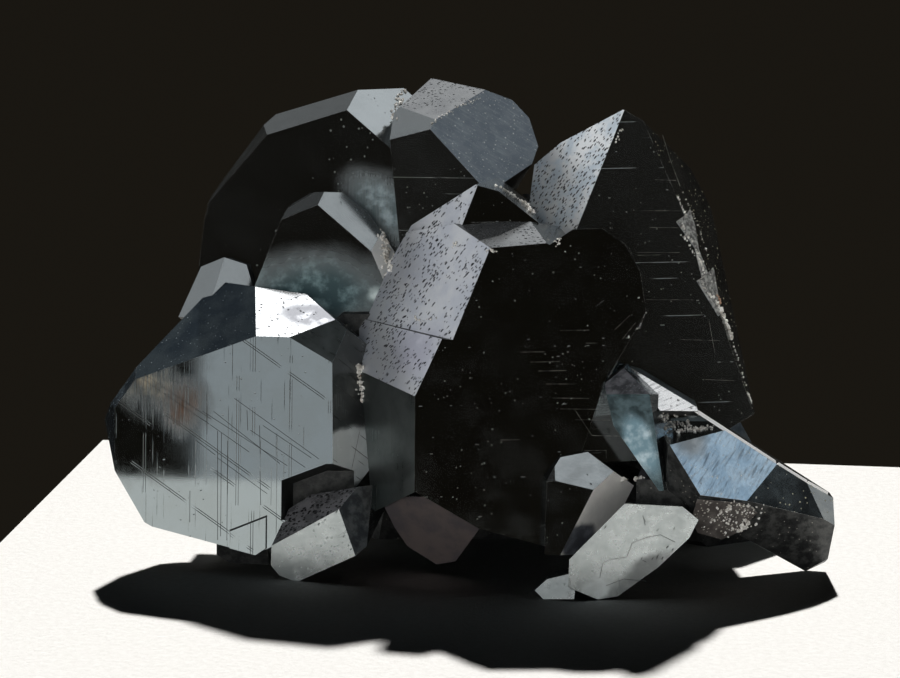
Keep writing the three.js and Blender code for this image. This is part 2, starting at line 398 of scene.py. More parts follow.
@dataclass(frozen=True)
class Pits:
    """Short dark pits that all point one way, crowded in some places."""

    size: Pair = (0.42, 0.19)  # mm
    spacing: float = 0.48
    crowd: Pair = (0.38, 0.6)
    most: float = 0.85
    turn: float = -32.0
    color: Triple = (0.022, 0.023, 0.028)
    depth: float = 0.03
    metal: float = 0.6
    roughness: float = 0.5
    crowds: float = 0.24  # waves of crowding to a mm
    reach: float = 0.62  # from a pit's middle to its rim, as a part of its length
    ragged: float = 0.3

    def lay_on(self, coat: Coat) -> None:
        """Sinks the pits.

        Args:
            coat: what the face shows so far.
        """
        sheet = coat.sheet
        wander = sheet.cloud(self.crowds, 3.0, 0.6)
        share = sheet.times(sheet.band(wander, *self.crowd), self.most)
        stretch = math.sqrt(self.size[0] / self.size[1])
        cell = sheet.grain(sheet.facet_mm(), self.turn, (self.spacing * stretch, self.spacing / stretch))
        radius = self.reach * self.size[0] / (self.spacing * stretch)
        pits = sheet.spots(sheet.warp(cell, 1.7, self.ragged), radius, 0.1, share)
        coat.lay(pits, self.color, self.metal, self.roughness, -self.depth)


@dataclass(frozen=True)
class Rules:
    """Fine straight growth lines, single or in pairs. In mm."""

    turn: float
    spacing: float
    width: float = 0.03
    gap: float = 0.0
    length: float = 5.0
    share: float = 0.5
    color: Triple = (0.16, 0.17, 0.15)
    metal: float = 0.2
    cover: Pair = (0.5, 0.58)
    roughness: float = 0.45
    depth: float = 0.01
    core: float = 0.4  # the part of a line's width that is at its full colour
    apart: float = 40.0  # between one line's noise and the next one's

    def lay_on(self, coat: Coat) -> None:
        """Rules the lines.

        Args:
            coat: what the face shows so far.
        """
        sheet = coat.sheet
        turned = sheet.grain(sheet.facet_mm(), self.turn, (self.length, self.spacing))
        across = sheet.along(turned, "Y")
        cells = sheet.add("ShaderNodeTexVoronoi", {"W": across, "Scale": 1.0}, voronoi_dimensions="1D")
        chance = sheet.add("ShaderNodeSeparateColor", {0: cells.outputs["Color"]})
        away = sheet.times(cells.outputs["Distance"], self.spacing)
        off = sheet.math("ABSOLUTE", sheet.math("SUBTRACT", away, self.gap / 2))
        line = sheet.band(off, self.width, self.width * self.core)
        own = sheet.times(chance.outputs[0], self.apart)
        place = sheet.add("ShaderNodeCombineXYZ", {0: sheet.along(turned, "X"), 1: own}).outputs[0]
        run = sheet.band(sheet.noise(place, 1.0, 2.0), *self.cover)
        shown = sheet.times(run, sheet.math("LESS_THAN", chance.outputs[1], self.share))
        shown = sheet.times(line, shown)
        coat.lay(shown, self.color, self.metal, self.roughness, -self.depth)


@dataclass(frozen=True)
class Patch:
    """A part of a face, with a soft ragged rim, in mm from the crystal's middle."""

    at: Pair
    half: Pair
    turn: float
    color: Triple
    pale: Triple
    metal: float = 0.0
    roughness: float = 0.5
    soft: float = 0.7
    ragged: float = 1.0
    streaks: float = 0.0
    streak_turn: float = 90.0
    streak: Pair = (5.0, 0.22)  # the length and width of one
    cloud: float = 0.55  # waves of its two tones to a mm
    pale_from: Pair = (0.44, 0.72)

    def lay_on(self, coat: Coat) -> None:
        """Lays the patch.

        Args:
            coat: what the face shows so far.
        """
        sheet = coat.sheet
        place = sheet.warp(sheet.facet_mm(), 0.3, self.ragged)
        oval = sheet.grain(place, self.turn, (*self.half, ENDLESS), (*self.at, 0.0))
        mask = sheet.band(sheet.far(oval), 1.0, 1.0 - self.soft)
        if self.streaks:
            lines = sheet.brushed(self.streak_turn, self.streak, 3.0, 0.6)
            kept = sheet.between(self.streaks, 1.0, sheet.band(lines, 0.35, 0.6))
            mask = sheet.times(mask, kept)
        cloud = sheet.cloud(self.cloud, 5.0, 0.62)
        tone = sheet.blend(sheet.band(cloud, *self.pale_from), self.color, self.pale)
        coat.lay(mask, tone, self.metal, self.roughness)


@dataclass(frozen=True)
class Frost:
    """Fine pale streaks and grains of a face frosted by its growth."""

    color: Triple
    size: float = 0.13  # mm
    share: float = 0.3
    streaks: float = 0.0
    turn: float = 0.0
    streak: Pair = (2.6, 0.34)  # mm
    spacing: float = 2.4  # between grains, in their size
    cover: float = 0.7  # how much of the face's colour a grain hides
    rise: float = 0.008

    def lay_on(self, coat: Coat) -> None:
        """Lays the frost.

        Args:
            coat: what the face shows so far.
        """
        sheet = coat.sheet
        lines = sheet.brushed(self.turn, self.streak, 4.0, 0.65)
        streaks = sheet.times(sheet.band(lines, 0.5, 0.72), self.streaks)
        coat.lay(streaks, self.color, 0.5, 0.5)
        apart = self.size * self.spacing
        cell = sheet.warp(sheet.grain(sheet.facet_mm(), 0, (apart, apart)), 2.0, 0.35)
        grains = sheet.spots(cell, 0.34, 0.25, self.share)
        coat.lay(sheet.times(grains, self.cover), self.color, 0.1, 0.6, self.rise)


@dataclass(frozen=True)
class FaceFinish:
    """A crystal face: mottled steel with growth hillocks, under the layers that lie on it."""

    steel: Triple = STEEL
    cool: Triple = STEEL  # the other colour of the mottle
    mottle: float = 0.3  # waves to a mm
    film: float = 0.0  # the share of the surface that is dull
    roughness: float = 0.07
    haze: float = 0.07
    hillocks: Pair = (9.0, 0.14)  # mm
    turn: float = 0.0  # degrees from the face's level line to its hillocks
    relief: float = 0.0012  # mm
    layers: tuple[object, ...] = ()

    def build(self, name: str) -> bpy.types.Material:
        """The material of that name.

        Args:
            name: the material's name.

        Returns:
            The finished material.
        """
        sheet = NodeSheet(name)
        cloud = sheet.band(sheet.cloud(self.mottle, 5.0, 0.65), 0.38, 0.64)
        fine = sheet.brushed(self.turn, self.hillocks, 4.0, 0.65)
        rough = sheet.between(cloud, self.roughness, self.roughness + self.haze)
        rough = sheet.times(rough, sheet.math("MULTIPLY_ADD", fine, 0.5, 0.75))
        height = sheet.times(fine, self.relief)
        coat = Coat(sheet, sheet.blend(cloud, self.steel, self.cool), 1.0 - self.film, rough, height)
        for layer in self.layers:
            layer.lay_on(coat)
        return coat.finish()


@dataclass(frozen=True)
class WornGlintEdge:
    """The thin worn line along an edge, brighter than the faces it parts: partly wear, partly a painted
    highlight.
    """

    steel: Triple = (0.6, 0.61, 0.6)
    dull: float = 0.35  # the part of that brightness it keeps in its dimmer patches

    def build(self, name: str) -> bpy.types.Material:
        """The material of that name.

        Args:
            name: the material's name.

        Returns:
            The finished material.
        """
        sheet = NodeSheet(name)
        # A noise parts the brighter patches of the painted highlight from the dimmer ones.
        broken = sheet.band(sheet.cloud(1.1, 4.0, 0.7), 0.4, 0.62)
        dull = tuple(self.dull * part for part in self.steel)
        color = sheet.blend(broken, dull, self.steel)
        return sheet.finish(color, 0.9, sheet.between(broken, 0.2, 0.45))


@dataclass(frozen=True)
class Crust:
    """The mineral crust in the cracks: cream grains, some of them stained."""

    cream: Triple = (0.95, 0.94, 0.9)
    shade: Triple = (0.5, 0.47, 0.42)

    def build(self, name: str) -> bpy.types.Material:
        """The material of that name.

        Args:
            name: the material's name.

        Returns:
            The finished material.
        """
        sheet = NodeSheet(name)
        solid = sheet.solid_mm()
        cloud = sheet.noise(solid, 1.6, 4.0, 0.7)
        color = sheet.blend(sheet.band(cloud, 0.36, 0.58), self.shade, self.cream)
        return sheet.finish(color, 0.0, 0.6, sheet.bump(sheet.noise(solid, 9.0, 4.0, 0.7), 0.05))


LEVEL_DASHES = Rules(0, 0.5, 0.026, length=0.9, share=0.3, color=(0.24, 0.25, 0.23), cover=(0.64, 0.7))
LEVEL_HAIRS = Rules(0, 1.5, 0.03, length=9.0, share=0.4, color=(0.10, 0.11, 0.095), cover=(0.5, 0.6))
STEEP_HAIRS = Rules(38, 2.2, 0.03, length=3.0, share=0.4, color=(0.2, 0.21, 0.19), cover=(0.64, 0.7))
BRIGHT_DUST = Dust(0.09, 1.1, 0.12, (0.5, 0.5, 0.45), (0.5, 0.7))
FINISHES: dict[Finish, object] = {
    F.MIRROR: FaceFinish(layers=(LEVEL_DASHES, STEEP_HAIRS, Dust(), BRIGHT_DUST)),
    F.BACK_MIRROR: FaceFinish(film=0.012, layers=(
        Dust(0.12, 0.7, 0.3),
        # The blue-grey patch is a painted reflection of the main crystal's lit back.
        Patch((7.6, -0.6), (6.4, 4.2), -35, (0.11, 0.15, 0.16), (0.4, 0.5, 0.54), streaks=0.3),
    )),
    F.HOLLOW: FaceFinish(film=0.01, layers=(
        # Both patches are painted reflection: the teal zone is the lit back of the left plate mirrored in
        # this face, the small pale patch a bright spot in that reflection.
        Patch((-0.6, -5.6), (10.5, 6.0), 0, (0.045, 0.085, 0.095), (0.24, 0.36, 0.38), soft=0.75),
        Patch((5.6, -5.4), (1.3, 0.9), 30, (0.4, 0.52, 0.52), (0.75, 0.85, 0.85), soft=0.9),
    )),
    F.PLATE: FaceFinish(film=0.03, layers=(
        Patch((7.4, -1.0), (7.4, 1.0), -66, (0.03, 0.03, 0.028), (0.4, 0.41, 0.38), 0.2, 0.35, 0.5, 0.8),
        LEVEL_HAIRS,
        LEVEL_DASHES,
        Dust(share=0.2),
        BRIGHT_DUST,
    )),
    F.PALE: FaceFinish(
        (0.343, 0.393, 0.41), (0.33, 0.375, 0.385), roughness=0.03, haze=0.015, turn=90, relief=0.0002,
        layers=(
            # The two dark brown patches on the left are partly a brown stain and partly a painted
            # reflection of the plate's own shadow on the floor.
            Patch(
                (-8.0, 5.4), (4.6, 4.2), -34, (0.06, 0.05, 0.035), (0.4, 0.35, 0.25), 0.4, 0.35,
                soft=1.0, ragged=1.2, streaks=0.7,
            ),
            Patch(
                (-4.4, 3.2), (3.4, 4.2), -20, (0.10, 0.06, 0.04), (0.2, 0.12, 0.08), 0.5, 0.35,
                soft=1.0, ragged=1.2, streaks=0.6,
            ),
            Rules(-34, 1.7, 0.035, 0.22, 7.0, 0.5, BLACK, 0.5, (0.5, 0.54)),
            Rules(90, 1.5, 0.03, 0.24, 7.0, 0.45, BLACK, 0.5, (0.5, 0.54)),
            Rules(90, 0.35, 0.03, 0.0, 6.0, 0.35, (0.09, 0.09, 0.09), 1.0, (0.5, 0.7)),
            Pits((0.16, 0.12), 0.9, (0.45, 0.6), 0.35, 0.0, (0.05, 0.05, 0.05), 0.02),
        ),
    ),
    F.PITTED: FaceFinish(
        (0.52, 0.54, 0.57), (0.46, 0.49, 0.55), film=0.6, roughness=0.3, haze=0.04, hillocks=(0.4, 0.2),
        layers=(
            Patch((1.2, 7.4), (4.6, 6.0), 0, (0.36, 0.37, 0.44), (0.46, 0.47, 0.54), 0.4, 0.3, 0.8),
            Pits((0.5, 0.24), 0.7, (0.3, 0.56), 0.5, color=(0.15, 0.155, 0.175), depth=0.01),
            Pits(crowd=(0.4, 0.62), most=0.95),
        ),
    ),
    F.PLATE_PITTED: FaceFinish(
        (0.8, 0.82, 0.83), (0.62, 0.7, 0.77), mottle=0.5, film=0.5, roughness=0.32, haze=0.05,
        hillocks=(0.4, 0.2),
        layers=(Pits(crowd=(0.3, 0.52), most=0.95), Frost((0.7, 0.75, 0.78), 0.2, 0.12)),
    ),
    F.GREY: FaceFinish(film=0.05, roughness=0.14, haze=0.05, hillocks=(0.5, 0.3), layers=(
        Pits((0.2, 0.14), 0.6, (0.52, 0.72), 0.4),
    )),
    F.CROWN: FaceFinish(
        (0.36, 0.375, 0.385), (0.33, 0.345, 0.36), film=0.3, roughness=0.2, hillocks=(0.4, 0.25),
        layers=(Pits((0.3, 0.2), 0.46, (0.36, 0.6), 0.9, color=(0.06, 0.065, 0.07)),),
    ),
    # Its near-white colour is partly a painted highlight, added to the glint box and front top box that
    # these facets mirror.
    F.WHITE: FaceFinish(
        (0.8, 0.8, 0.8), (0.74, 0.75, 0.75), film=0.25, roughness=0.14, haze=0.02,
        layers=(
            Frost((0.45, 0.47, 0.49), 0.2, 0.1, 0.5, 30),
            Patch((8.4, 9.6), (4.6, 2.6), -10, (0.2, 0.2, 0.21), (0.6, 0.6, 0.62), 0.9, 0.14, 0.5),
            Pits((0.26, 0.2), 0.5, (0.45, 0.65), 0.4, color=(0.66, 0.66, 0.67)),
        ),
    ),
    # A dull near-white that is a painted highlight: on the hollow crystal's bright bevel and on the ridge
    # along the arm's edge.
    F.CHALKY: FaceFinish((0.95, 0.95, 0.94), (0.85, 0.87, 0.87), film=1.0, roughness=0.45, layers=(
        Pits((0.3, 0.16), 0.6, (0.5, 0.66), 0.6, color=(0.1, 0.1, 0.1)),
    )),
    F.FROSTED: FaceFinish(
        (0.2, 0.235, 0.27), (0.28, 0.32, 0.355), mottle=0.5, film=0.1, roughness=0.4, hillocks=(0.3, 0.2),
        relief=0.012,
        layers=(
            Frost((0.55, 0.61, 0.65), 0.12, 0.4, 0.4, 25),
            Dust(0.11, 0.6, 0.4, (0.8, 0.82, 0.82), (0.3, 0.55)),
        ),
    ),
    F.BLUE: FaceFinish(
        (0.32, 0.37, 0.41), (0.6, 0.66, 0.7), mottle=0.4, film=0.12, roughness=0.3, hillocks=(0.4, 0.2),
        relief=0.006,
        layers=(
            Frost((0.72, 0.76, 0.78), 0.12, 0.25, 0.6, 78),
            Frost((0.16, 0.2, 0.24), 0.2, 0.05, 0.8, 86),
            Patch((2.6, 2.6), (2.2, 3.2), 0, (0.3, 0.32, 0.33), (0.55, 0.57, 0.58), 0.4, 0.45, 0.8),
            Dust(0.09, 0.5, 0.35, (0.8, 0.82, 0.8), (0.4, 0.6)),
        ),
    ),
    F.TEAL: FaceFinish(
        (0.03, 0.045, 0.05), (0.1, 0.15, 0.17), mottle=0.6, film=0.1, roughness=0.16,
        layers=(
            # The pale blue band is a painted reflection of the lit arm and arch beside the upright.
            Patch((1.0, -1.4), (4.2, 1.7), -65, (0.2, 0.33, 0.4), (0.62, 0.78, 0.86), 0.6, 0.25, 0.5, 0.6),
        ),
    ),
    F.FOOT: FaceFinish(
        (0.5, 0.55, 0.55), (0.78, 0.84, 0.84), mottle=0.4, film=0.35, roughness=0.22, hillocks=(0.9, 0.5),
        relief=0.006,
        layers=(
            Frost((0.62, 0.66, 0.65), 0.2, 0.2, 0.2, 30),
            Pits((0.5, 0.14), 0.9, (0.5, 0.64), 0.5, 60.0, (0.1, 0.11, 0.11), 0.02),
        ),
    ),
    F.SHELL: FaceFinish(
        (0.5, 0.55, 0.55), (0.8, 0.86, 0.86), mottle=0.35, film=0.35, roughness=0.22, hillocks=(0.9, 0.5),
        relief=0.012,
        layers=(
            # The first patch darkens the face's lower part: painted shade.
            Patch((1.0, -3.6), (4.6, 2.6), 28, (0.26, 0.28, 0.28), (0.5, 0.53, 0.53), 0.3, 0.3, 0.35, 1.4),
            Patch((-4.6, -4.6), (1.6, 3.0), -40, (0.7, 0.76, 0.76), (0.9, 0.98, 0.98), 0.3, 0.25, 0.5),
            Pits((0.5, 0.14), 0.9, (0.5, 0.64), 0.5, 60.0, (0.1, 0.11, 0.11), 0.02),
        ),
    ),
    F.TOE: FaceFinish((0.15, 0.125, 0.12), (0.10, 0.09, 0.095), film=0.85, roughness=0.3, layers=(
        Dust(0.06, 0.8, 0.1, (0.3, 0.28, 0.25)),
    )),
    F.VIOLET: FaceFinish(
        (0.07, 0.075, 0.085), (0.24, 0.245, 0.27), mottle=0.8, film=0.6, roughness=0.35,
        hillocks=(0.5, 0.3), relief=0.03,
        layers=(Frost((0.36, 0.37, 0.4), 0.14, 0.3, 0.4, 60),),
    ),
    # Its near-black colour is partly painted shade for the recesses and hollows it covers, and partly the
    # dark rough growth itself.
    F.ROUGH: FaceFinish(
        (0.035, 0.037, 0.038), (0.10, 0.103, 0.10), mottle=0.9, film=0.4, roughness=0.35, haze=0.15,
        hillocks=(0.7, 0.5), relief=0.05,
        layers=(Dust(0.1, 0.6, 0.3, (0.3, 0.29, 0.25)),),
    ),
    F.BROKEN: FaceFinish(
        (0.12, 0.12, 0.115), (0.6, 0.61, 0.58), mottle=2.6, film=0.7, roughness=0.35, hillocks=(0.5, 0.3),
        relief=0.05,
        layers=(Dust(0.14, 0.5, 0.4, (0.9, 0.9, 0.86), (0.4, 0.6), 0.05),),
    ),
    F.FAR: FaceFinish(film=0.05, roughness=0.16, haze=0.12, layers=(
        LEVEL_HAIRS, Pits((0.3, 0.16), 0.7, (0.5, 0.68), 0.6), Dust(),
    )),
    F.NAVY: FaceFinish((0.1, 0.14, 0.18), (0.2, 0.26, 0.3), film=0.1, roughness=0.14, layers=(
        Dust(0.06, 0.5, 0.45, (0.36, 0.4, 0.42), (0.3, 0.6)),
    )),
    F.DARK: FaceFinish((0.22, 0.25, 0.25), (0.28, 0.31, 0.31), film=0.05, roughness=0.28, layers=(
        LEVEL_HAIRS, Dust(0.07, 0.6, 0.2),
    )),
    F.GAP: FaceFinish((0.10, 0.11, 0.11), (0.16, 0.17, 0.17), film=0.4, roughness=0.2, layers=(
        # The near-white patch is a painted reflection of the sunlit floor on this dark bevel.
        Patch((1.8, 8.0), (3.4, 7.0), 0, (0.85, 0.9, 0.9), (0.95, 1.0, 1.0), 0.1, 0.3, 0.25, 0.6),
        Rules(60, 0.9, 0.04, 0.0, 5.0, 0.7, BLACK, 0.4, (0.45, 0.52)),
        Rules(-20, 1.6, 0.035, 0.0, 5.0, 0.5, BLACK, 0.4, (0.5, 0.55)),
    )),
    F.RIM: FaceFinish((0.17, 0.175, 0.185), (0.3, 0.3, 0.32), film=0.6, roughness=0.25, layers=(
        Pits((0.4, 0.3), 0.5, (0.3, 0.5), 0.95, -32.0, (0.015, 0.015, 0.017), 0.05),
    )),
    # Its near-white dull colour is a painted reflection of bright floor.
    F.BEIGE: FaceFinish((0.95, 0.94, 0.9), (0.85, 0.84, 0.82), film=0.9, roughness=0.3, layers=(
        Patch((4.0, 3.0), (2.4, 4.0), 0, (0.12, 0.13, 0.15), (0.3, 0.32, 0.36), 0.2, 0.35, 0.3),
    )),
    F.SPECKLED: FaceFinish((0.12, 0.13, 0.13), (0.2, 0.21, 0.2), film=0.1, roughness=0.16, layers=(
        Dust(0.1, 0.6, 0.35, (0.5, 0.47, 0.33), (0.35, 0.6)),
    )),
    F.HEEL: FaceFinish(
        (0.09, 0.08, 0.075), (0.17, 0.155, 0.145), mottle=0.9, film=0.8, roughness=0.4,
        hillocks=(0.5, 0.4), relief=0.04,
        layers=(Dust(0.12, 0.4, 0.5, (0.6, 0.58, 0.52), (0.2, 0.4), 0.04),),
    ),
    F.WORN: WornGlintEdge(),
    F.GROOVE: FaceFinish((0.03, 0.03, 0.032), (0.05, 0.05, 0.05), film=0.5, roughness=0.3),
    F.HAIR: FaceFinish((0.03, 0.03, 0.028), (0.34, 0.34, 0.31), mottle=1.6, film=0.8, roughness=0.5),
    F.CREAM: Crust(),
    F.RUSTY: Crust((0.62, 0.42, 0.3), (0.22, 0.10, 0.06)),
}


# ---- Crystals


def linked(thing: bpy.types.Object) -> bpy.types.Object:
    """Puts an object into the scene."""
    bpy.context.scene.collection.objects.link(thing)
    return thing


@dataclass(frozen=True)
class Crystal:
    """One crystal's axes and the finish of its faces."""

    at: Triple  # mm
    turn: float  # degrees
    tilt: float
    basal: Finish = Finish.MIRROR
    bevels: dict[Pair, Finish] = field(default_factory=dict)  # by direction and lean, in degrees
    planes: tuple[float, ...] = (0.0,)  # where its basal faces lie along the c-axis

    def axes(self) -> Matrix:
        """Its right, top and c-axis as the columns of a turn.

        Returns:
            A matrix that turns its own directions into the frame's.
        """
        a, t = math.radians(self.turn), math.radians(self.tilt)
        axis = Vector((math.sin(a) * math.cos(t), -math.cos(a) * math.cos(t), math.sin(t)))
        right = Vector((math.cos(a), math.sin(a), 0.0))
        return Matrix((right, axis.cross(right), axis)).transposed()

    def middle(self) -> Vector:
        """The middle of its front basal face in the frame, in mm."""
        return Vector(self.at) + GROWTH_ORIGIN

    def spot(self, across: float, up: float, out: float = 0.0) -> Vector:
        """A point of the front basal face in the frame, in mm."""
        return self.middle() + self.axes() @ Vector((across, up, out))

    def faces(self) -> list[tuple[Vector, Vector, Finish]]:
        """Every named face: its normal, its level direction, and its finish.

        Returns:
            One row for each face, the basal one first.
        """
        axes = self.axes()
        found = [(axes.col[2].copy(), axes.col[0].copy(), self.basal)]
        for (direction, lean), finish in self.bevels.items():
            d, l = math.radians(direction), math.radians(lean)
            normal = axes @ Vector((math.sin(l) * math.cos(d), math.sin(l) * math.sin(d), math.cos(l)))
            level = axes @ Vector((math.sin(d), -math.cos(d), 0.0))
            found.append((normal, level, finish))
        return found


LEFT_PLATE = Crystal((-24.2, -8, 13.4), -8, 6, F.PALE, {
    (90, 54): F.WHITE, (111, 53): F.NAVY, (145, 62): F.NAVY, (180, 61): F.NAVY, (61, 33): F.DARK,
    (1, 62): F.GAP,
}, (0.0, 0.4))
MAIN = Crystal((3.4, -14, 18.8), 4, 10, F.MIRROR, {
    (157, 57): F.PITTED, (158, 57): F.PITTED, (154, 60): F.PITTED, (179, 62): F.DARK, (179, 66): F.DARK,
    (94, 66): F.CROWN, (268, 70): F.DARK,
}, (0.0, -5.4))
BROWN_TOE = Crystal((-3.4, -13, 5.9), -28, -28, F.TOE, {(124, 80): F.DARK})
BACK_PLATE = Crystal((-16, 5, 35.6), -6, 11, F.BACK_MIRROR, {
    (108, 62): F.GREY, (140, 62): F.GREY, (50, 60): F.GREY,
})
CROWN = Crystal((-3.4, 2, 39.8), -4, 9, F.PLATE, {
    (105, 56): F.GREY, (93, 66): F.CROWN, (43, 50): F.FROSTED,
})
RIGHT_PLATE = Crystal((17.6, -4, 32.1), 6, 10, F.PLATE, {
    (157, 60): F.PLATE_PITTED, (18, 64): F.SPECKLED, (23, 64): F.SPECKLED,
})
HOLLOW = Crystal((-14.8, 0, 32.4), 0, 8, F.HOLLOW, {
    (49, 44): F.GREY, (112, 54): F.GREY, (23, 50): F.CHALKY,
})
WEDGE = Crystal((-25.6, 2, 28.4), -25, 35, F.GREY, {(358, 36): F.GREY})
RIGHT_ARM = Crystal((25.8, -14, 15.8), 94, 56, F.GREY, {
    (180, 58): F.BLUE, (189, 60): F.SPECKLED, (204, 46): F.SPECKLED, (204, 112): F.ROUGH,
    (94, 41): F.GREY, (91, 124): F.ROUGH, (4, 50): F.DARK, (271, 58): F.DARK,
})
ARM_HEEL = Crystal((26.3, -16.3, 7.7), 11, -31, F.HEEL)
ARM_ROOT = Crystal((19.2, -15.5, 8.4), -4, 9, F.ROUGH, {(90, 80): F.VIOLET})
ARM_BLADE = Crystal((19.6, -14, 17.8), -12, 42, F.WHITE, {(60, 62): F.DARK})
UPRIGHT = Crystal((16.4, -15.6, 16.2), -8, 4, F.TEAL, {(92, 50): F.VIOLET})
ARCH = Crystal((10.4, -18, 10.2), -10, 12, F.MIRROR, {
    (335, 65): F.BEIGE, (79, 38): F.GREY, (101, 36): F.GREY,
})
PALE_FOOT = Crystal((17.2, -19, 5.4), 8, 5, F.SHELL)
LEFT_FOOT = Crystal((-15.6, -13, 3.2), -15, 4, F.FOOT, {(121, 58): F.RIM, (21, 40): F.ROUGH})
NUB = Crystal((9, -19.6, 1), -15, 25, F.FOOT)
REAR = (
    Crystal((4, 15, 24), 176, 12), Crystal((-16, 13, 18), 205, 8),
    Crystal((19, 9, 17), 150, 6), Crystal((-7, 19, 7), 187, -6),
    Crystal((13, 15, 6), 158, -4), Crystal((27, 11, 4.5), 150, -3),
)
CRYSTALS = (
    LEFT_PLATE, MAIN, BROWN_TOE, BACK_PLATE, CROWN, RIGHT_PLATE, HOLLOW, WEDGE, RIGHT_ARM, ARM_HEEL,
    ARM_ROOT, ARM_BLADE, UPRIGHT, ARCH, PALE_FOOT, LEFT_FOOT, NUB, *REAR,
)


@dataclass
class DressedCluster:
    """The grown cluster: the CAD solid's own shape, with worn edges that carry a painted highlight, and a
    finish on each face.
    """

    same_point: float = 0.001  # mm
    flat: float = 0.3  # degrees between two triangles of one plane
    same_face: float = 1.2  # degrees between a mesh face and the crystal face it belongs to
    same_plane: float = 0.15  # mm between a mesh face and the basal face it belongs to
    broad: float = 9.0  # square mm
    broken: Pair = (19.0, 21.0)  # right of and above which the small faces are chips, in mm
    facing: Pair = (-0.3, -0.5)  # a far bevel's normal has more y and more z than this
    edge_wear: float = 0.05  # mm taken off each sharp edge
    sharp: float = 18.0  # degrees between two faces whose edge is worn

    def build(self) -> bpy.types.Object:
        """Makes and dresses the piece.

        Returns:
            The finished object.
        """
        piece = self._copy()
        self._clean(piece)
        self._finish_faces(piece)
        self._wear_and_glint_edges(piece)
        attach(piece, BODY)
        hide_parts(CLUSTER_NODE)
        return piece

    def _copy(self) -> bpy.types.Object:
        """A copy of the CAD solid with its own mesh.

        Returns:
            The copy, bare and selected.
        """
        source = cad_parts[CLUSTER_NODE]
        bpy.ops.object.select_all(action="DESELECT")
        piece = bpy.data.objects.new("grown_crystals", source.data.copy())
        linked(piece)
        piece.data.materials.clear()
        bpy.context.view_layer.objects.active = piece
        piece.select_set(True)
        return piece

    def _clean(self, piece: bpy.types.Object) -> None:
        """Merges the loose triangles and joins those of one plane.

        Args:
            piece: the copy, selected.
        """
        bpy.ops.object.mode_set(mode="EDIT")
        bpy.ops.mesh.select_all(action="SELECT")
        bpy.ops.mesh.remove_doubles(threshold=self.same_point * MM)
        bpy.ops.mesh.dissolve_limited(angle_limit=math.radians(self.flat))
        bpy.ops.object.mode_set(mode="OBJECT")
        for layer in list(piece.data.uv_layers):
            piece.data.uv_layers.remove(layer)
        for name in [a.name for a in piece.data.attributes if a.name == "custom_normal"]:
            piece.data.attributes.remove(piece.data.attributes[name])
        bpy.ops.object.shade_flat()

    def _finish_faces(self, piece: bpy.types.Object) -> None:
        """Gives each face its crystal's finish and a map in mm.

        Args:
            piece: the cleaned copy.
        """
        slots = list(Finish)
        for finish in slots:
            piece.data.materials.append(FINISHES[finish].build(finish.value))
        layer = piece.data.uv_layers.new(name=FACET_MAP)
        for polygon in piece.data.polygons:
            centre = polygon.center / MM
            middle, normal, level, finish = self._face_of(centre, polygon.normal) or self._unnamed(polygon)
            polygon.material_index = slots.index(finish)
            up = normal.cross(level)
            for corner in polygon.loop_indices:
                offset = piece.data.vertices[piece.data.loops[corner].vertex_index].co / MM - middle
                layer.data[corner].uv = (offset.dot(level), offset.dot(up))

    def _face_of(self, centre: Vector, normal: Vector) -> tuple | None:
        """The crystal face that a mesh face belongs to.

        Args:
            centre: the mesh face's middle, in mm.
            normal: its normal.

        Returns:
            The crystal's middle, and the face's normal, level direction and finish. None where no
            crystal has such a face.
        """
        near = math.cos(math.radians(self.same_face))
        found = []
        for crystal in CRYSTALS:
            offset = centre - crystal.middle()
            for k, face in enumerate(crystal.faces()):
                if face[0].dot(normal) < near:
                    continue
                out = offset.dot(face[0])
                if k == 0 and all(abs(out - plane) > self.same_plane for plane in crystal.planes):
                    continue
                found.append((offset.length, len(found), (crystal.middle(), *face)))
        return min(found)[2] if found else None

    def _unnamed(self, polygon: bpy.types.MeshPolygon) -> tuple:
        """The same for a face that no crystal names: chips of the broken edge, rough ones, far bevels.

        Args:
            polygon: the mesh face.

        Returns:
            The map's zero, and the face's normal, level direction and finish.
        """
        normal = polygon.normal.copy()
        level = normal.cross(Vector((0, 0, 1)))
        level = level.normalized() if level.length > 0.01 else Vector((1, 0, 0))
        seen = normal.y > self.facing[0] and normal.z > self.facing[1]
        broad = polygon.area > self.broad * MM * MM and seen
        chip = polygon.center.x > self.broken[0] * MM and polygon.center.z > self.broken[1] * MM
        finish = Finish.BROKEN if chip and not broad else Finish.FAR if broad else Finish.ROUGH
        return Vector((0, 0, 0)), normal, level, finish

    def _wear_and_glint_edges(self, piece: bpy.types.Object) -> None:
        """Takes the sharpness off the edges and gives the narrow faces the worn finish, whose brightness is
        partly a painted highlight.

        Args:
            piece: the copy with its finishes.
        """
        wear = piece.modifiers.new("worn_edges", "BEVEL")
        wear.width = self.edge_wear * MM
        wear.segments = 1
        wear.limit_method = "ANGLE"
        wear.angle_limit = math.radians(self.sharp)
        wear.use_clamp_overlap = True
        wear.loop_slide = False
        wear.material = list(Finish).index(Finish.WORN)
        bpy.ops.object.modifier_apply(modifier=wear.name)


# ---- Growth lines and crust


def joined(name: str, copies: list[bpy.types.Object], finish: Finish) -> bpy.types.Object:
    """Makes one piece of several copies.

    Args:
        name: the piece's name.
        copies: the objects to join.
        finish: the finish of them all.

    Returns:
        The piece, which rides with the cluster.
    """
    bpy.ops.object.select_all(action="DESELECT")
    for copy in copies:
        copy.select_set(True)
    bpy.context.view_layer.objects.active = copies[0]
    bpy.ops.object.join()
    piece = bpy.context.active_object
    piece.name = name
    piece.data.materials.clear()
    piece.data.materials.append(FINISHES[finish].build(finish.value))
    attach(piece, BODY)
    return piece


def copied(model: bpy.types.Object, place: Matrix) -> bpy.types.Object:
    """A copy of a model with its own mesh, which holds its place.

    Args:
        model: what to copy.
        place: its place, turn and size.

    Returns:
        The copy.
    """
    copy = bpy.data.objects.new(model.name, model.data.copy())
    copy.data.transform(place)
    return linked(copy)


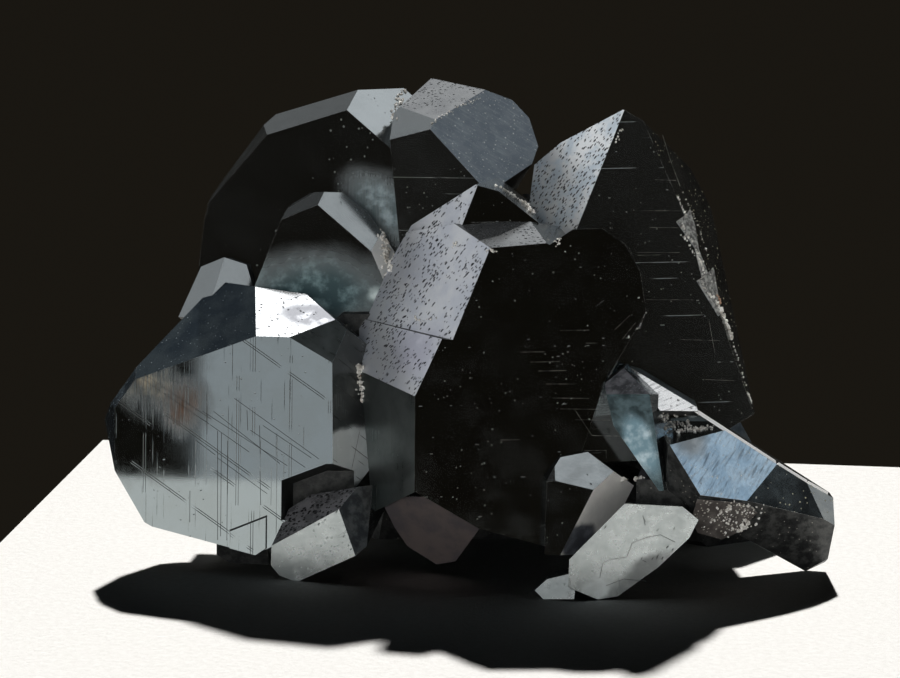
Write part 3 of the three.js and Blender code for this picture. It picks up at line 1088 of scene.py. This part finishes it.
@dataclass(frozen=True)
class GrowthLines:
    """Fine straight ridges that stand on a crystal face, in the crystal's own mm."""

    name: str
    crystal: Crystal
    finish: Finish
    runs: tuple[tuple[Pair, ...], ...]
    width: float = 0.08
    height: float = 0.03
    plane: float = 0.0  # along the c-axis
    sunk: float = 0.012
    crest: Pair = (0.94, 0.2)  # its length and width, as parts of the ridge's foot

    def build(self) -> bpy.types.Object:
        """Lays a ridge along each straight part of every run.

        Returns:
            The piece.
        """
        model = self._ridge()
        copies = [self._laid(model, start, end) for run in self.runs for start, end in zip(run, run[1:])]
        bpy.data.objects.remove(model)
        return joined(self.name, copies, self.finish)

    def _ridge(self) -> bpy.types.Object:
        """A ridge a unit long, wide and high, with a narrow crest.

        Returns:
            The model that each ridge is copied from.
        """
        bpy.ops.object.select_all(action="DESELECT")
        bpy.ops.mesh.primitive_cube_add(size=1.0)
        model = bpy.context.active_object
        bpy.ops.object.mode_set(mode="EDIT")
        bpy.ops.mesh.select_all(action="DESELECT")
        bpy.ops.object.mode_set(mode="OBJECT")
        for polygon in model.data.polygons:
            polygon.select = polygon.normal.z > 0.5
        bpy.ops.object.mode_set(mode="EDIT")
        bpy.ops.transform.resize(value=(*self.crest, 1.0))
        bpy.ops.object.mode_set(mode="OBJECT")
        return model

    def _laid(self, model: bpy.types.Object, start: Pair, end: Pair) -> bpy.types.Object:
        """One ridge from point to point.

        Args:
            model: the ridge to copy.
            start: in the crystal's own mm.
            end: the same.

        Returns:
            The ridge in its place.
        """
        axes = self.crystal.axes()
        a, b = Vector((*start, 0.0)), Vector((*end, 0.0))
        along = (b - a).normalized()
        across = Vector((-along.y, along.x, 0.0))
        out = self.plane + self.height / 2 - self.sunk
        middle = self.crystal.middle() + axes @ ((a + b) / 2 + Vector((0, 0, out)))
        turn = Matrix((axes @ along, axes @ across, axes.col[2])).transposed().to_4x4()
        size = Matrix.Diagonal(((b - a).length * MM, self.width * MM, self.height * MM, 1.0))
        return copied(model, Matrix.Translation(middle * MM) @ turn @ size)


@dataclass(frozen=True)
class Seam:
    """A run of crust along a crack or a corner, in mm."""

    points: tuple[Triple, ...]
    grain: float = 0.3  # the largest grain
    spread: float = 0.2
    count: int = 14
    crystal: Crystal | None = None  # whose own axes the points are in; without one, the frame's

    def places(self) -> list[Vector]:
        """The points in the frame, in mm.

        Returns:
            One place for each point.
        """
        if self.crystal is None:
            return [Vector(point) for point in self.points]
        return [self.crystal.spot(*point) for point in self.points]


@dataclass
class CrustPiece:
    """Grains of crust sitting on the crystals along its seams."""

    name: str
    finish: Finish
    seams: tuple[Seam, ...]
    seed: int = 1
    shapes: int = 4  # different grains
    smallest: float = 0.35  # as a part of the largest
    bumpy: float = 0.3  # how far a grain's corners are pushed about
    stray: float = 0.6  # a grain's standard deviation from its seam, in spreads
    slim: float = 0.6  # a grain's least width and thickness, as a part of its length
    proud: float = 0.18  # of a grain's size, from the crystal to the grain's middle
    inset: float = 0.1  # mm kept clear of the frame's box

    def build(self, ground: BVHTree) -> bpy.types.Object:
        """Scatters the grains.

        Args:
            ground: the crystals' surface.

        Returns:
            The piece.
        """
        chance = random.Random(self.seed)
        models = [self._grain(k) for k in range(self.shapes)]
        copies = []
        for seam in self.seams:
            copies += self._scatter(seam, models, ground, chance)
        for model in models:
            bpy.data.objects.remove(model)
        return joined(self.name, copies, self.finish)

    def _grain(self, seed: int) -> bpy.types.Object:
        """An angular grain one unit across.

        Args:
            seed: what its shape is drawn from.

        Returns:
            The grain.
        """
        bpy.ops.object.select_all(action="DESELECT")
        bpy.ops.mesh.primitive_ico_sphere_add(subdivisions=1, radius=0.5)
        model = bpy.context.active_object
        bpy.ops.object.mode_set(mode="EDIT")
        bpy.ops.mesh.select_all(action="SELECT")
        bpy.ops.transform.vertex_random(offset=self.bumpy, uniform=0.3, seed=seed)
        bpy.ops.object.mode_set(mode="OBJECT")
        return model

    def _scatter(
        self, seam: Seam, models: list[bpy.types.Object], ground: BVHTree, chance: random.Random
    ) -> list[bpy.types.Object]:
        """The grains of one seam.

        Args:
            seam: where they lie.
            models: the different grains.
            ground: the crystals' surface.
            chance: the source of their places.

        Returns:
            The grains.
        """
        points = seam.places()
        found = []
        for _ in range(seam.count):
            at = chance.random() * (len(points) - 1)
            part = min(int(at), len(points) - 2)
            place = points[part].lerp(points[part + 1], at - part)
            place += Vector([chance.gauss(0, self.stray) * seam.spread for _ in range(3)])
            hit, normal, _, _ = ground.find_nearest(place * MM)
            size = seam.grain * (self.smallest + (1 - self.smallest) * chance.random() ** 2)
            toward = Vector([chance.gauss(0, 1) for _ in range(3)])
            turn = toward.to_track_quat("Z", "X").to_matrix().to_4x4()
            width, thick = self.slim + 0.4 * chance.random(), self.slim + 0.3 * chance.random()
            flat = Matrix.Diagonal((1.0, width, thick, 1.0))
            middle = hit + normal * size * self.proud * MM
            if self._inside(middle, size * MM):
                lie = Matrix.Translation(middle) @ turn @ flat @ Matrix.Scale(size * MM, 4)
                found.append(copied(chance.choice(models), lie))
        return found

    def _inside(self, middle: Vector, size: float) -> bool:
        """Whether a grain stays inside the frame's box.

        Args:
            middle: the grain's middle, in metres.
            size: its length, in metres.

        Returns:
            True where it and its clearance fit.
        """
        low, high = CAD_BOX
        room = size + self.inset * MM
        beside = all(low[k] + room < middle[k] < high[k] - room for k in range(2))
        return beside and middle.z < high[2] - room


LEFT_PLATE_LINES = GrowthLines("left_plate_lines", LEFT_PLATE, F.GROOVE, (
    ((-8.7, 6.0), (-1.6, 1.5), (2.5, -1.2)), ((-8.4, 6.4), (-1.4, 2.0)), ((-2.5, 2.9), (6.5, -2.5)),
    ((0.8, 4.3), (9.7, -1.7)), ((-1.3, 2.9), (5.7, -2.3)), ((3.8, 1.6), (8.9, -1.6)),
    ((-3.1, -0.1), (-1.0, -1.6)), ((-0.9, -1.8), (4.4, -5.4)), ((2.5, 1.1), (8.3, -2.6)),
    ((-0.8, 1.0), (-0.7, -10.4)), ((-0.4, 0.8), (-0.4, -10.0)), ((0.25, 0.0), (0.25, -10.4)),
    ((3.5, 1.6), (3.6, -1.4)), ((3.6, -3.0), (3.7, -6.6)), ((2.2, 3.1), (2.3, 1.0)),
    ((-3.6, -5.3), (-3.6, -8.6)), ((-1.9, 3.4), (-1.9, 0.4)),
))
MAIN_LINES = GrowthLines("main_crystal_lines", MAIN, F.HAIR, (
    ((2.1, 4.8), (4.6, 4.8)), ((3.9, 2.9), (6.7, 2.9)), ((4.6, 1.6), (7.6, 1.55)), ((5.2, 0.2), (9.0, 0.1)),
    ((6.0, -0.9), (10.0, -1.0)), ((7.5, -2.0), (11.0, -2.1)), ((3.1, 3.8), (6.1, 3.8)),
    ((7.5, -1.0), (8.3, -2.2), (9.2, -3.6), (12.0, -3.7), (13.6, -4.7)), ((6.1, 6.9), (9.1, 6.9)),
    ((11.6, 6.9), (13.1, 8.3)), ((12.3, 5.9), (13.7, 7.6)), ((0.0, -3.9), (2.0, -3.9)),
    ((8.4, -5.1), (10.6, -5.1), (10.6, -5.9)), ((6.4, -7.4), (8.3, -7.4)), ((8.7, 5.6), (9.9, 5.6)),
), width=0.04, height=0.022)
PLATE_LINES = GrowthLines("right_plate_lines", RIGHT_PLATE, F.HAIR, (
    ((0.2, 4.0), (5.0, 3.9)), ((1.0, 2.3), (4.6, 2.2)), ((-0.3, -0.2), (4.2, -0.3)),
    ((-0.2, -0.5), (2.2, -0.5)), ((1.7, 7.1), (3.9, 7.0)), ((0.6, -5.0), (5.1, -5.1)),
    ((4.0, -9.1), (8.2, -9.3)), ((6.4, -13.2), (9.6, -13.4)),
    ((2.6, 11.6), (3.3, 9.2), (4.3, 6.4)), ((7.0, -7.0), (7.6, -10.6)),
), width=0.035, height=0.02)
# Two ridges along the main crystal's crest, bright with the worn edges' partly painted highlight.
CREST_LINES = GrowthLines("crest_lines", MAIN, F.WORN, (
    ((-2.3, 17.7), (3.4, 17.7)), ((-1.6, 17.3), (2.7, 17.3)),
), plane=-5.4)
# A pale ridge along the arm's top edge; its white is a painted highlight of the glints along that edge.
ARM_RIM = GrowthLines("arm_rim", RIGHT_ARM, F.CHALKY, (
    ((0.1, 3.6), (0.17, -6.4), (0.75, -10.2), (2.0, -13.0)),
), width=0.3, height=0.34, sunk=0.1)
FOOT_LINES = GrowthLines("pale_foot_lines", PALE_FOOT, F.GROOVE, (
    (
        (-4.0, -3.2), (-3.7, -1.7), (-3.0, -1.4), (-1.3, -1.2), (-0.7, 0.2), (0.8, 0.7), (2.1, 0.9),
        (3.6, 0.1),
    ),
    ((0.35, 2.9), (0.6, 1.9)), ((0.4, 2.7), (0.65, 2.2)), ((0.3, -1.6), (0.7, -1.8)),
    ((-3.4, -4.0), (-1.6, -3.4), (0.6, -3.7)),
))
CREAM_CRUST = CrustPiece("cream_crust", F.CREAM, (
    Seam(((-4.5, -6.5, 27.7), (-5.2, -7.0, 25.8), (-4.4, -8.0, 25.6), (-2.8, -9.8, 26.4)), 0.32, 0.12, 26),
    Seam(((-1.6, -6.7, 33.1), (-0.8, -6.9, 33.3)), 0.4, 0.2, 10),
    Seam(((1.9, -11.0, 33.5), (3.0, -11.2, 33.5)), 0.4, 0.16, 12),
    Seam(((2.9, -2.1, 38.4), (4.3, -0.6, 37.5), (5.5, 0.3, 36.5), (6.2, 0.6, 36.0)), 0.34, 0.14, 60),
    Seam(((6.0, 0.4, 36.2), (6.4, -1.6, 35.9), (6.4, -3.1, 35.8)), 0.7, 0.35, 30),
    Seam(((-6.5, 15.0, 45.4), (-7.2, 12.7, 44.8), (-7.5, 6.0, 43.9)), 0.6, 0.4, 34),
    Seam(((-3.5, 3.6, 43.9), (-1.1, 6.7, 45.0), (1.5, 9.8, 45.6)), 0.24, 0.16, 60),
    Seam(((-11.0, -5.1, 20.4), (-10.8, -5.0, 19.0), (-10.4, -5.9, 17.5)), 0.6, 0.32, 70),
    Seam(((15.5, -14.8, 11.2), (16.6, -14.4, 11.1), (17.6, -14.1, 11.0)), 0.5, 0.3, 34),
    Seam(((15.7, -1.8, 44.3), (14.9, -2.1, 42.9)), 0.3, 0.2, 12),
    Seam(((7.9, -8.9, 34.3), (8.9, -10.7, 34.0), (9.3, -10.6, 34.6)), 0.35, 0.2, 20),
    Seam(((-9.0, 2.7, 32.4), (-8.2, 1.6, 30.9), (-7.8, -0.6, 29.5)), 0.5, 0.4, 120),
    Seam((
        (14.4, -6.3, 19.6), (15.2, -6.0, 21.0), (16.1, -11.8, 24.9), (17.5, -5.2, 24.4),
    ), 0.28, 0.06, 110),
    Seam(((17.5, -5.2, 24.4), (18.2, -4.8, 26.0)), 0.16, 0.06, 18),
), seed=3)
ARM_CRUST = CrustPiece("arm_crust", F.CREAM, (
    Seam(((19.5, -12.8, 16.8), (20.7, -8.9, 15.5), (22.6, -10.7, 15.6)), 0.42, 0.8, 60),
    Seam(((23.5, -12.1, 15.6), (20.9, -12.1, 15.3), (24.5, -12.5, 15.7)), 0.4, 0.8, 70),
    Seam((
        (-2.8, 1.6, 0.0), (3.2, 0.6, 0.0), (-1.8, -0.4, 0.0), (2.6, -1.4, 0.0), (0.3, -2.6, 0.0),
    ), 0.5, 0.8, 110, ARM_HEEL),
), seed=5)
RIM_CRUST = CrustPiece("rim_crust", F.CREAM, (
    Seam((
        (4.6, 5.5, 0.0), (5.2, 3.5, -0.2), (4.4, 2.0, -0.3), (5.5, 0.0, -0.3), (6.4, -1.5, -0.3),
        (6.6, -4.0, -0.5), (7.6, -5.1, -0.6),
    ), 0.36, 0.24, 110, RIGHT_PLATE),
    Seam(((7.6, -5.1, -0.6), (9.8, -7.8, -0.5), (10.4, -9.0, -0.4)), 0.6, 0.18, 60, RIGHT_PLATE),
    Seam((
        (6.2, 6.6, -1.6), (7.4, 4.1, -1.6), (8.2, 2.2, -1.6), (8.8, -0.2, -1.6),
    ), 0.22, 0.2, 30, RIGHT_PLATE),
    Seam((
        (10.5, -9.0, -0.5), (11.0, -11.0, -0.4), (10.9, -14.9, -0.4), (11.6, -15.7, -0.4),
    ), 0.24, 0.14, 40, RIGHT_PLATE),
), seed=7)
RUSTY_CRUST = CrustPiece("rusty_crust", F.RUSTY, (
    Seam(((8.6, -4.4, -0.8), (9.2, -5.3, -0.8)), 0.4, 0.25, 12, RIGHT_PLATE),
    Seam(((-10.9, -5.1, 19.6), (-10.7, -5.2, 18.4)), 0.25, 0.2, 6),
), seed=9)


# ---- Floor, light and camera


@dataclass(frozen=True)
class SoftBox:
    """A soft box that looks at the object, seen in the faces that are turned to it. In mm."""

    name: str
    toward: Triple
    size: Pair
    glow: float  # radiance
    tint: Triple = (0.96, 0.98, 1.0)
    away: float = 700.0
    aim: Triple = (0.0, 0.0, 20.0)  # the point that it looks at

    def build(self) -> None:
        """Makes the light."""
        light = bpy.data.lights.new(self.name, "AREA")
        light.shape = "RECTANGLE"
        light.size, light.size_y = self.size[0] * MM, self.size[1] * MM
        light.energy = self.glow * math.pi * light.size * light.size_y
        light.color = self.tint
        box = bpy.data.objects.new(self.name, light)
        direction = Vector(self.toward).normalized()
        box.location = (direction * self.away + Vector(self.aim)) * MM
        box.rotation_euler = direction.to_track_quat("Z", "Y").to_euler()
        box.visible_diffuse = False
        linked(box)


SOFT_BOXES = (
    SoftBox("left_low_box", (-0.88, 0.36, 0.32), (420, 330), 1.35),
    SoftBox("right_back_box", (0.57, 0.50, 0.65), (260, 260), 1.1),
    SoftBox("back_top_box", (-0.03, 0.78, 0.62), (200, 200), 0.6),
    SoftBox("back_left_box", (-0.30, 0.77, 0.56), (150, 150), 0.2),
    SoftBox("small_box", (-0.27, 0.55, 0.79), (130, 130), 0.42),
    SoftBox("navy_box", (-0.49, 0.40, 0.77), (150, 150), 0.1),
    SoftBox("glint_box", (-0.13, 0.34, 0.93), (160, 160), 3.3),
    SoftBox("front_top_box", (-0.22, -0.30, 0.93), (160, 160), 1.15),
    SoftBox("arch_box", (0.05, -0.11, 0.99), (110, 110), 1.0),
    SoftBox("crown_box", (0.67, 0.04, 0.74), (190, 150), 0.85),
    SoftBox("frost_box", (0.73, 0.22, 0.65), (150, 150), 0.25, (0.8, 0.9, 1.0)),
    SoftBox("blue_box", (0.69, -0.49, 0.53), (250, 250), 1.7, (0.62, 0.82, 1.0)),
    SoftBox("wedge_box", (-0.63, -0.23, 0.74), (220, 220), 0.5),
    SoftBox("shoulder_box", (0.41, -0.64, 0.65), (140, 140), 0.75),
    SoftBox("low_right_box", (0.93, 0.20, 0.31), (200, 200), 1.6),
    SoftBox("nub_box", (-0.42, -0.72, 0.54), (150, 150), 0.6),
    SoftBox("front_left_panel", (-0.283, -0.959, -0.005), (121, 80), 0.56),
)


@dataclass
class Studio:
    """A pale floor, a small hard key from behind, the soft boxes, and the camera. In mm."""

    floor_corner: Pair = (-41.8, 48.0)  # its back left corner
    floor_turn: float = -8.3
    floor_size: Pair = (420.0, 285.0)
    wing_size: Pair = (90.0, 190.0)  # the floor's wider part, in front
    floor_thick: float = 6.0
    key_toward: Triple = (0.012, 0.695, 0.719)
    key_strength: float = 5.7
    key_width: float = 2.0  # degrees
    key_color: Triple = (1.0, 0.985, 0.96)
    fill_toward: Triple = (-0.35, -0.90, 0.25)
    fill_strength: float = 1.1
    fill_width: float = 50.0
    room: Triple = (0.0100, 0.0084, 0.0060)
    camera_at: Triple = (-1.636, -391.04, 105.26)
    camera_pitch: float = 78.0
    lens: float = 156.0

    def build(self) -> None:
        """Makes everything that isn't the object."""
        width, depth = self.floor_size
        wing, wing_depth = self.wing_size
        pale = self._pale()
        self._slab("floor", (0.0, -depth), (width, depth), pale)
        self._slab("floor_wing", (-wing, -depth), (wing, wing_depth), pale)
        self._world()
        key = self._sun("key_sun", self.key_toward, self.key_strength, self.key_width)
        key.data.color = self.key_color
        self._spare_the_floor(self._sun("fill_sun", self.fill_toward, self.fill_strength, self.fill_width))
        for box in SOFT_BOXES:
            box.build()
        self._camera()

    def _pale(self) -> bpy.types.Material:
        """The floor's finish.

        Returns:
            The finished material.
        """
        sheet = NodeSheet("pale_floor")
        grain = sheet.cloud(1.4, 6.0, 0.75)
        color = sheet.blend(sheet.band(grain, 0.3, 0.7), (0.74, 0.73, 0.71), (0.82, 0.815, 0.8))
        sheet.shader.inputs["Specular IOR Level"].default_value = 0.0
        return sheet.finish(color, 0.0, 0.9, sheet.bump(grain, 0.12))

    def _slab(self, name: str, corner: Pair, size: Pair, pale: bpy.types.Material) -> None:
        """One slab of the floor.

        Args:
            name: its name.
            corner: its front left corner, counted from the floor's own back left corner.
            size: its width and depth.
            pale: its finish.
        """
        bpy.ops.object.select_all(action="DESELECT")
        bpy.ops.mesh.primitive_cube_add(size=1.0)
        slab = bpy.context.active_object
        slab.name = name
        scale = Matrix.Diagonal((size[0] * MM, size[1] * MM, self.floor_thick * MM, 1.0))
        middle = (corner[0] + size[0] / 2, corner[1] + size[1] / 2, -self.floor_thick / 2)
        turn = Matrix.Rotation(math.radians(self.floor_turn), 4, "Z")
        origin = Matrix.Translation((self.floor_corner[0] * MM, self.floor_corner[1] * MM, 0.0))
        slab.data.transform(origin @ turn @ Matrix.Translation(Vector(middle) * MM) @ scale)
        slab.data.materials.append(pale)

    def _world(self) -> None:
        """A dark room."""
        world = bpy.data.worlds.new("dark_room")
        world.use_nodes = True
        world.node_tree.nodes["Background"].inputs["Color"].default_value = (*self.room, 1.0)
        world.node_tree.nodes["Background"].inputs["Strength"].default_value = 1.0
        world.cycles_visibility.diffuse = False
        bpy.context.scene.world = world

    def _sun(self, name: str, toward: Triple, strength: float, width: float) -> bpy.types.Object:
        """A light from far away that the mirror faces don't show.

        Args:
            name: its name.
            toward: the direction to it.
            strength: in watts a square metre.
            width: how wide it looks, in degrees.

        Returns:
            The light's object.
        """
        light = bpy.data.lights.new(name, "SUN")
        light.energy = strength
        light.angle = math.radians(width)
        sun = bpy.data.objects.new(name, light)
        sun.rotation_euler = Vector(toward).to_track_quat("Z", "Y").to_euler()
        sun.visible_glossy = False
        return linked(sun)

    def _spare_the_floor(self, fill: bpy.types.Object) -> None:
        """Keeps a light off the floor, so that the object's shadow there stays deep.

        Args:
            fill: the light.
        """
        unlit = bpy.data.collections.new("unlit_by_fill")
        for name in ("floor", "floor_wing"):
            unlit.objects.link(bpy.data.objects[name])
        fill.light_linking.receiver_collection = unlit
        for member in unlit.collection_objects:
            member.light_linking.link_state = "EXCLUDE"

    def _camera(self) -> None:
        """The camera, a long lens a little above the object."""
        data = bpy.data.cameras.new("camera")
        data.lens = self.lens
        data.sensor_width = 36.0
        data.clip_start = 10 * MM
        camera = bpy.data.objects.new("camera", data)
        camera.location = Vector(self.camera_at) * MM
        camera.rotation_euler = (math.radians(self.camera_pitch), 0.0, 0.0)
        bpy.context.scene.camera = linked(camera)


# ---- The whole


def main() -> None:
    """Builds every piece in order."""
    logging.basicConfig(level=logging.INFO, format="%(name)s: %(message)s")
    bpy.context.scene.view_settings.view_transform = "Standard"
    Studio().build()
    cluster = DressedCluster().build()
    pieces = [cluster]
    for lines in (LEFT_PLATE_LINES, MAIN_LINES, PLATE_LINES, CREST_LINES, ARM_RIM, FOOT_LINES):
        pieces.append(lines.build())
    corners = [vertex.co.copy() for vertex in cluster.data.vertices]
    ground = BVHTree.FromPolygons(corners, [tuple(polygon.vertices) for polygon in cluster.data.polygons])
    for crust in (CREAM_CRUST, ARM_CRUST, RIM_CRUST, RUSTY_CRUST):
        pieces.append(crust.build(ground))
    for piece in pieces:
        LOG.info("%s: %d faces", piece.name, len(piece.data.polygons))


if __name__ == "__main__":
    main()
